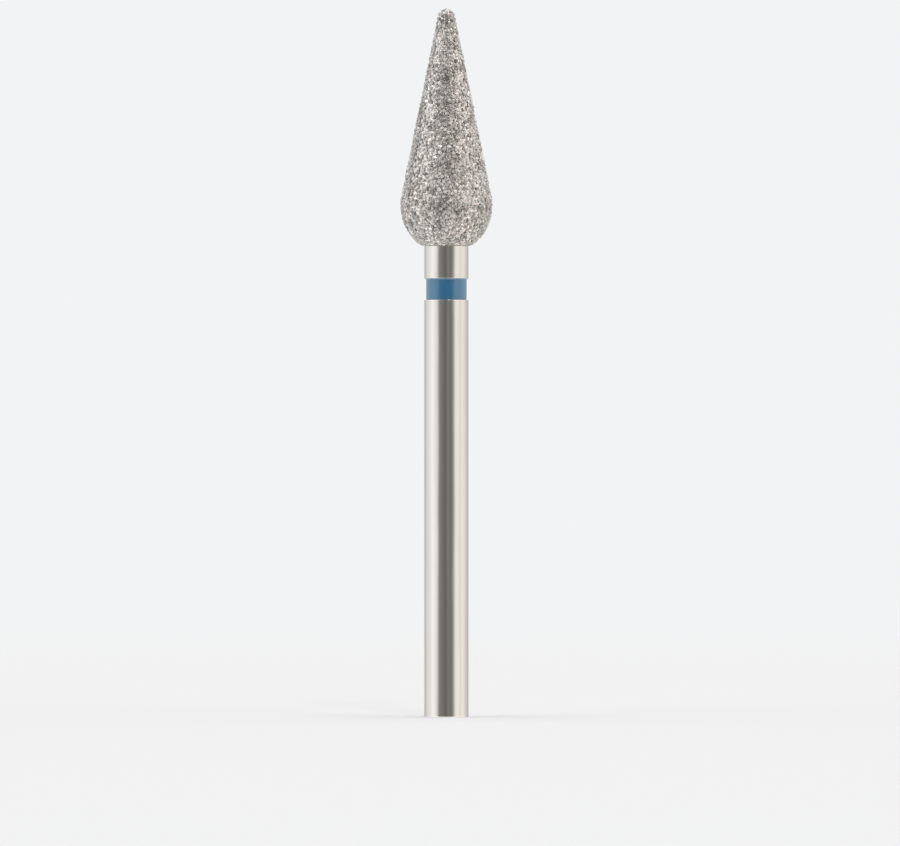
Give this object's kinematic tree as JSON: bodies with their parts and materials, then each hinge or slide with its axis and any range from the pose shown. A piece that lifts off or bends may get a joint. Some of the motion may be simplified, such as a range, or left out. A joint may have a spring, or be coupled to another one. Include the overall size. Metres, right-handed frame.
{
  "type": "diamond bur",
  "caption": "Rotary bur with a long drop-shaped head, coated in diamond crystals and nickel, on a plain cylindrical shank with a blue ring in a groove below the neck.",
  "frame": {"origin": "centre of the shank's flat end face, which is the lowest point of the bur as it stands", "axes": "+Z along the bur's axis, from the shank's end towards the tip of the head; the bur is round, so X and Y are free"},
  "size_m": [0.0048, 0.0048, 0.0377],
  "materials": {
    "ground_steel": "ground stainless steel, satin along the shank and neck",
    "diamond_and_nickel": "rough: medium diamond crystals standing out of dull electroplated nickel",
    "blue_lacquer": "semi-gloss blue lacquer"
  },
  "bodies": {
    "root": {"steel_blank": "ground_steel", "diamond_coat": "diamond_and_nickel", "colour_ring": "blue_lacquer"}
  },
  "joints": []
}
